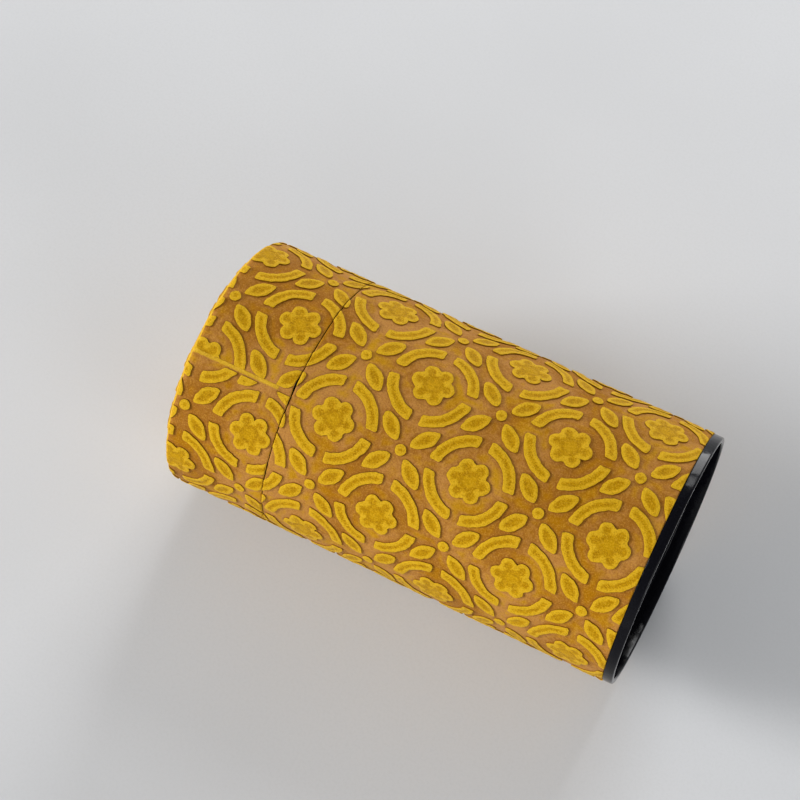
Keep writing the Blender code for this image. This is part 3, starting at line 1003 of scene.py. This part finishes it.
def make_paper_material():
    """Handmade paper: felted yellow figures on a ground of ochre and purple brown, with painted shade
    on the figures' walls and at their foot.
    """
    material, tree, shader = new_material("ochre_paper", 0.66, 0.0, 0.05)
    sheen = linear(255, 232, 196)
    set_values(shader, {"Sheen Weight": 0.08, "Sheen Roughness": 0.30, "Sheen Tint": sheen})
    where = place(tree)
    grain = noise(tree, where, 0.45, 3.0, 0.75)
    fibre = noise(tree, place(tree, (1.0, 1.7, 0.8)), 0.65, 4.0, 0.7, 1.2)
    mottle = noise(tree, where, 1.4, 3.0, 0.6)
    patch = noise(tree, where, 9.0, 3.0, 0.55, 0.6)
    cloud = noise(tree, where, 24.0, 2.0, 0.5)
    rise = attribute(tree, "rise")
    lift = attribute(tree, "lift")
    raised = figure_colour(tree, rise, grain, fibre, mottle)
    ground = ground_colour(tree, rise, grain, mottle, patch, cloud)
    # Painted shade: the walls of the figures get a dark brown colour that stands in for their shade
    wall = linear(108, 69, 3)
    colour = blend(tree, span(tree, lift, 0.06, 0.20), ground, wall)
    colour = blend(tree, span(tree, lift, 0.24, 0.34), colour, raised)
    worn = worn_colour(tree, grain, fibre)
    fray = plus(tree, attribute(tree, "fray"), span(tree, fibre, 0.3, 0.7, -0.22, 0.22))
    colour = blend(tree, span(tree, fray, 0.35, 0.65), colour, worn)
    colour = blend(tree, attribute(tree, "cut"), colour, worn)
    feed(tree, shader.inputs["Base Color"], colour)
    height = times(tree, grain, 0.10)
    height = plus(tree, height, times(tree, fibre, 0.17))
    height = plus(tree, height, times(tree, mottle, 0.13))
    bump(tree, shader, height, 0.9)
    return material


def make_enamel_material():
    """Black lacquer on tinplate, glossy and slightly wavy, and bare metal towards the tea."""
    material, tree, shader = new_material("black_enamel", 0.16, 0.0, 0.12)
    where = place(tree)
    dust = noise(tree, where, 0.5, 3.0, 0.6)
    lacquer = blend(tree, span(tree, dust, 0.45, 0.8), linear(9, 9, 14), linear(20, 20, 26))
    _, normal, radius, _ = around_axis(tree)
    towards_tea = span(tree, normal[0], -0.3, -0.7)
    within = span(tree, radius, (SLEEVE_OUTER + 0.3) * MM, (SLEEVE_OUTER + 0.1) * MM)
    bare = times(tree, towards_tea, within)
    colour = blend(tree, bare, lacquer, linear(190, 188, 183))
    feed(tree, shader.inputs["Base Color"], colour)
    feed(tree, shader.inputs["Metallic"], times(tree, bare, 0.45))
    gloss = span(tree, noise(tree, where, 3.0), 0.3, 0.7, 0.09, 0.18)
    gloss = plus(tree, gloss, times(tree, bare, 0.2))
    feed(tree, shader.inputs["Roughness"], gloss)
    waves = times(tree, noise(tree, where, 5.0, 2.0), 0.12)
    bump(tree, shader, waves, 0.6)
    return material


def joint_shade_band(tree, position, radius):
    """Painted shade: a dark band on the outer side of the tinplate at the joint between body and lid,
    which makes the gap at the joint look dark.
    """
    middle = (JOINT_H + LID_H) / 2
    distance = calculate(tree, "SUBTRACT", position[0], (FOOT_X - middle) * MM)
    line = span(tree, calculate(tree, "ABSOLUTE", distance), 0.5 * MM, 0.7 * MM, 1.0, 0.0)
    outer_side = span(tree, radius, (SLEEVE_OUTER - 0.3) * MM, (SLEEVE_OUTER - 0.1) * MM)
    return times(tree, line, outer_side)


def make_tin_material():
    """Bright tinplate with fine lines around the axis and faint marks, duller on its inner side, and a
    dark band of painted shade at the joint.
    """
    material, tree, shader = new_material("tin", 0.3, 1.0)
    position, _, radius, facing = around_axis(tree)
    joined = tree.nodes.new("ShaderNodeCombineXYZ")
    feed(tree, joined.inputs[0], position[0])
    feed(tree, joined.inputs[1], radius)
    lines = noise(tree, joined.outputs[0], 0.22, 3.0, 0.7)
    marks = noise(tree, place(tree), 7.0, 4.0, 0.6)
    metal = blend(tree, span(tree, marks, 0.35, 0.7), linear(208, 206, 201), linear(187, 185, 180))
    # Painted shade: the tin is painted dark brown in a thin band at the joint, so that the gap between
    # lid and body looks dark
    joint_shade = joint_shade_band(tree, position, radius)
    feed(tree, shader.inputs["Base Color"], blend(tree, joint_shade, metal, linear(44, 30, 12)))
    inner = span(tree, facing, -0.3, -0.7)
    shine = calculate(tree, "SUBTRACT", 1.0, times(tree, inner, 0.55))
    feed(tree, shader.inputs["Metallic"], shine)
    rough = plus(tree, span(tree, lines, 0.3, 0.7, 0.20, 0.30), span(tree, marks, 0.4, 0.8, 0.0, 0.12))
    rough = plus(tree, rough, times(tree, inner, 0.1))
    # The band of painted shade at the joint is made rough as well
    rough = calculate(tree, "MAXIMUM", rough, times(tree, joint_shade, 0.8))
    feed(tree, shader.inputs["Roughness"], rough)
    bump(tree, shader, times(tree, lines, 0.010), 0.6)
    return material


def make_knob_material():
    """Glossy black moulded knob with faint polishing marks."""
    material, tree, shader = new_material("black_knob", 0.2)
    where = place(tree)
    haze = noise(tree, where, 2.5, 4.0, 0.6)
    colour = blend(tree, haze, linear(19, 18, 17), linear(33, 31, 29))
    feed(tree, shader.inputs["Base Color"], colour)
    feed(tree, shader.inputs["Roughness"], span(tree, haze, 0.35, 0.7, 0.16, 0.30))
    bump(tree, shader, times(tree, noise(tree, where, 0.4), 0.01), 0.5)
    return material


def make_rivet_material():
    """Satin aluminium with small dents."""
    material, tree, shader = new_material("rivet_metal", 0.35, 1.0)
    dents = noise(tree, place(tree), 0.8, 3.0, 0.6)
    colour = blend(tree, dents, linear(188, 188, 187), linear(220, 220, 219))
    feed(tree, shader.inputs["Base Color"], colour)
    feed(tree, shader.inputs["Roughness"], span(tree, dents, 0.3, 0.7, 0.3, 0.45))
    bump(tree, shader, times(tree, dents, 0.03), 0.6)
    return material


def dress(piece, material, body, node):
    """Give a piece its material and body, and hide the CAD node that it stands for."""
    piece.data.materials.append(material)
    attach(piece, body)
    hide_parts(node)


def make_floor():
    """Plain pale table top."""
    half = 1300.0 * MM
    mesh = bpy.data.meshes.new("floor")
    corners = [(-half, -half, 0.0), (half, -half, 0.0), (half, half, 0.0), (-half, half, 0.0)]
    mesh.from_pydata(corners, [], [(0, 1, 2, 3)])
    floor = add_object("floor", mesh)
    material, tree, shader = new_material("floor", 0.85, 0.0, 0.05)
    where = place(tree)
    cloud = noise(tree, where, 160.0, 2.0, 0.5)
    speck = noise(tree, where, 0.9, 3.0, 0.6)
    colour = blend(tree, span(tree, cloud, 0.3, 0.7), linear(202, 203, 205), linear(207, 208, 210))
    colour = tint(tree, colour, linear(198, 199, 200), speck, 0.4, 0.7, 0.3)
    feed(tree, shader.inputs["Base Color"], colour)
    mesh.materials.append(material)


def make_window(name, position, width, height, power, colour):
    """Soft window aimed at the canister."""
    data = bpy.data.lights.new(name, "AREA")
    data.shape = "RECTANGLE"
    data.size = width
    data.size_y = height
    data.energy = power
    data.color = colour
    light = add_object(name, data)
    light.location = position
    light.rotation_euler = direction_matrix(position).to_euler()


def direction_matrix(back):
    """Rotation whose local Z axis points along back and whose X axis is level."""
    length = math.sqrt(sum(value * value for value in back))
    z = [value / length for value in back]
    flat = math.hypot(z[0], z[1]) or 1.0
    x = [-z[1] / flat, z[0] / flat, 0.0]
    y = [z[1] * x[2] - z[2] * x[1], z[2] * x[0] - z[0] * x[2], z[0] * x[1] - z[1] * x[0]]
    return Matrix((x, y, z)).transposed()


def make_world():
    """Pale surroundings, brighter low down than overhead."""
    world = bpy.data.worlds.new("world")
    bpy.context.scene.world = world
    world.use_nodes = True
    tree = world.node_tree
    background = tree.nodes["Background"]
    background.inputs["Color"].default_value = (0.98, 0.99, 1.0, 1.0)
    direction = separate(tree, tree.nodes.new("ShaderNodeTexCoord").outputs["Generated"])
    low_down = calculate(tree, "SUBTRACT", 1.0, calculate(tree, "MAXIMUM", direction[2], 0.0))
    lit = times(tree, calculate(tree, "POWER", low_down, 2.0), WORLD_LOW)
    lit = plus(tree, lit, WORLD_HIGH)
    strength = tree.nodes.new("ShaderNodeMix")
    feed(tree, strength.inputs[0], tree.nodes.new("ShaderNodeLightPath").outputs["Is Camera Ray"])
    feed(tree, strength.inputs[2], lit)
    feed(tree, strength.inputs[3], WORLD_SEEN)
    tree.links.new(strength.outputs[0], background.inputs["Strength"])


def make_camera():
    """Camera at the photograph's viewing angle."""
    data = bpy.data.cameras.new("camera")
    data.lens = 90.84
    data.sensor_width = 36.0
    camera = add_object("camera", data)
    right = (0.89062, 0.45474, 0.0)
    up = (-0.40453, 0.79228, 0.45679)
    back = (0.20772, -0.40682, 0.88958)
    position = (0.108155, -0.23955, 0.58899)
    turn = Matrix((right, up, back)).transposed().to_4x4()
    camera.matrix_world = Matrix.Translation(position) @ turn
    bpy.context.scene.camera = camera


paper = make_paper_material()
enamel = make_enamel_material()
tin = make_tin_material()
knob_black = make_knob_material()
rivet_metal = make_rivet_material()

dress(make_foot_ring(), enamel, "canister", "foot_ring")
dress(make_base_plate(), enamel, "canister", "base_plate")
dress(make_body_tube(), tin, "canister", "body_tube")
dress(make_body_paper(), paper, "canister", "body_paper")
dress(make_neck(), tin, "canister", "neck_sleeve")
dress(make_lid_tube(), tin, "outer_lid", "lid_tube")
dress(make_lid_plate(), tin, "outer_lid", "lid_top_plate")
dress(make_lid_paper(), paper, "outer_lid", "lid_paper")
dress(make_lid_end_paper(), paper, "outer_lid", "lid_top_paper")
dress(make_inner_pan(), tin, "inner_lid", "inner_lid_pan")
dress(make_knob(), knob_black, "inner_lid", "inner_lid_knob")
dress(make_rivet(), rivet_metal, "inner_lid", "knob_rivet")

make_floor()
make_world()
for window in WINDOWS:
    make_window(*window)
make_camera()
bpy.context.scene.view_settings.view_transform = "Standard"
